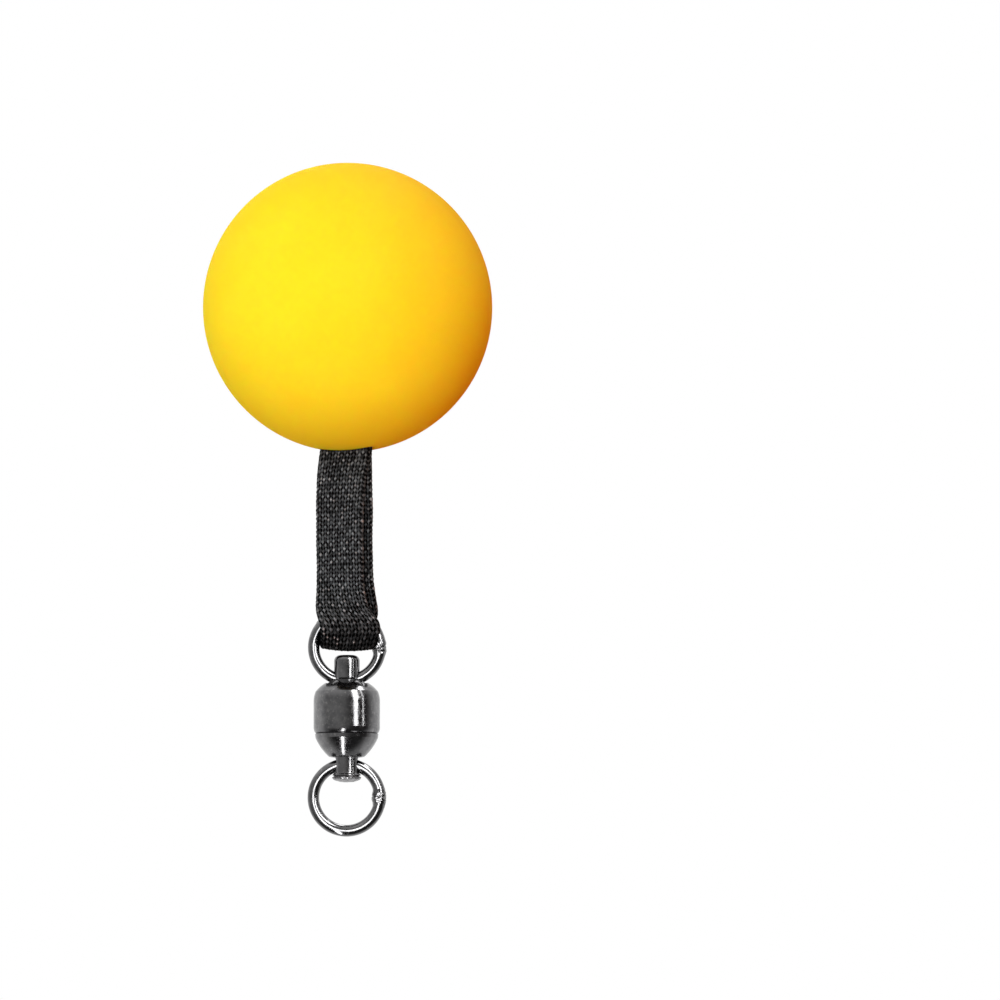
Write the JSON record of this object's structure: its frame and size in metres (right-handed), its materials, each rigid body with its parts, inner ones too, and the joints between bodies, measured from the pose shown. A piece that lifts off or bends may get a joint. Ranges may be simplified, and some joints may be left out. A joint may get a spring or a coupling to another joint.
{
  "type": "swinging ball with webbing loop and swivel",
  "caption": "Silicone-skinned swinging ball on a sewn webbing loop, with a ball-bearing swivel and a welded ring at each end of it.",
  "frame": {"origin": "centre of the ball, where a hand or a stand holds it", "axes": "+Z from the swivel towards the ball with the loop and swivel hanging plumb below it, +X and Z in the plane of both rings"},
  "size_m": [0.06, 0.06, 0.1396],
  "materials": {
    "silicone_skin": "matt, slightly dusty moulded silicone",
    "core_plastic": "plain moulded ABS",
    "pin_steel": "ground steel",
    "screw_steel": "zinc plated",
    "webbing": "plain-woven nylon",
    "thread": "bonded nylon thread",
    "ring_black_nickel": "black nickel plate on drawn wire",
    "swivel_black_nickel": "polished black nickel plate",
    "race_steel": "ground",
    "bearing_steel": "polished bearing balls"
  },
  "bodies": {
    "ball": {"ball_skin": "silicone_skin", "core_upper_shell": "core_plastic", "core_lower_shell": "core_plastic", "anchor_pin": "pin_steel", "pin_retainer": "core_plastic", "retainer_screw_left": "screw_steel", "retainer_screw_right": "screw_steel", "webbing_anchor": "webbing", "webbing_stitching": "thread"},
    "strap": {"webbing_loop": "webbing"},
    "upper_ring": {"upper_ring": "ring_black_nickel"},
    "swivel_housing": {"swivel_barrel": "swivel_black_nickel", "swivel_cone": "swivel_black_nickel", "upper_race": "race_steel", "lower_race": "race_steel"},
    "spindle": {"spindle": "swivel_black_nickel"},
    "bearing_balls": {"upper_bearing_ball_01": "bearing_steel", "upper_bearing_ball_02": "bearing_steel", "upper_bearing_ball_03": "bearing_steel", "upper_bearing_ball_04": "bearing_steel", "upper_bearing_ball_05": "bearing_steel", "upper_bearing_ball_06": "bearing_steel", "upper_bearing_ball_07": "bearing_steel", "upper_bearing_ball_08": "bearing_steel", "upper_bearing_ball_09": "bearing_steel", "upper_bearing_ball_10": "bearing_steel", "upper_bearing_ball_11": "bearing_steel", "upper_bearing_ball_12": "bearing_steel", "lower_bearing_ball_01": "bearing_steel", "lower_bearing_ball_02": "bearing_steel", "lower_bearing_ball_03": "bearing_steel", "lower_bearing_ball_04": "bearing_steel", "lower_bearing_ball_05": "bearing_steel", "lower_bearing_ball_06": "bearing_steel", "lower_bearing_ball_07": "bearing_steel", "lower_bearing_ball_08": "bearing_steel", "lower_bearing_ball_09": "bearing_steel", "lower_bearing_ball_10": "bearing_steel", "lower_bearing_ball_11": "bearing_steel", "lower_bearing_ball_12": "bearing_steel"},
    "lower_ring": {"lower_ring": "ring_black_nickel"}
  },
  "joints": [
    {"name": "strap_flex", "type": "hinge", "parent": "ball", "child": "strap", "pos_m": [0, 0, -0.032], "axis": [0.9272, -0.3746, 0], "range_deg": [-75, 75]},
    {"name": "ring_rock", "type": "hinge", "parent": "strap", "child": "upper_ring", "pos_m": [0, 0, -0.0706], "axis": [0, 1, 0], "range_deg": [-22, 22]},
    {"name": "swivel_tilt", "type": "hinge", "parent": "upper_ring", "child": "swivel_housing", "pos_m": [0, 0, -0.07745], "axis": [-1, 0, 0], "range_deg": [-60, 60]},
    {"name": "spindle_spin", "type": "hinge", "parent": "swivel_housing", "child": "spindle", "pos_m": [0, 0, -0.09], "axis": [0, 0, 1], "continuous": true},
    {"name": "bearing_ball_orbit", "type": "hinge", "parent": "swivel_housing", "child": "bearing_balls", "pos_m": [0, 0, -0.09], "axis": [0, 0, 1], "continuous": true},
    {"name": "lower_ring_swing", "type": "hinge", "parent": "spindle", "child": "lower_ring", "pos_m": [0, 0, -0.09475], "axis": [1, 0, 0], "range_deg": [-90, 90]}
  ],
  "couplings": [
    {"joint": "bearing_ball_orbit", "follows": "spindle_spin", "ratio": 0.5}
  ]
}
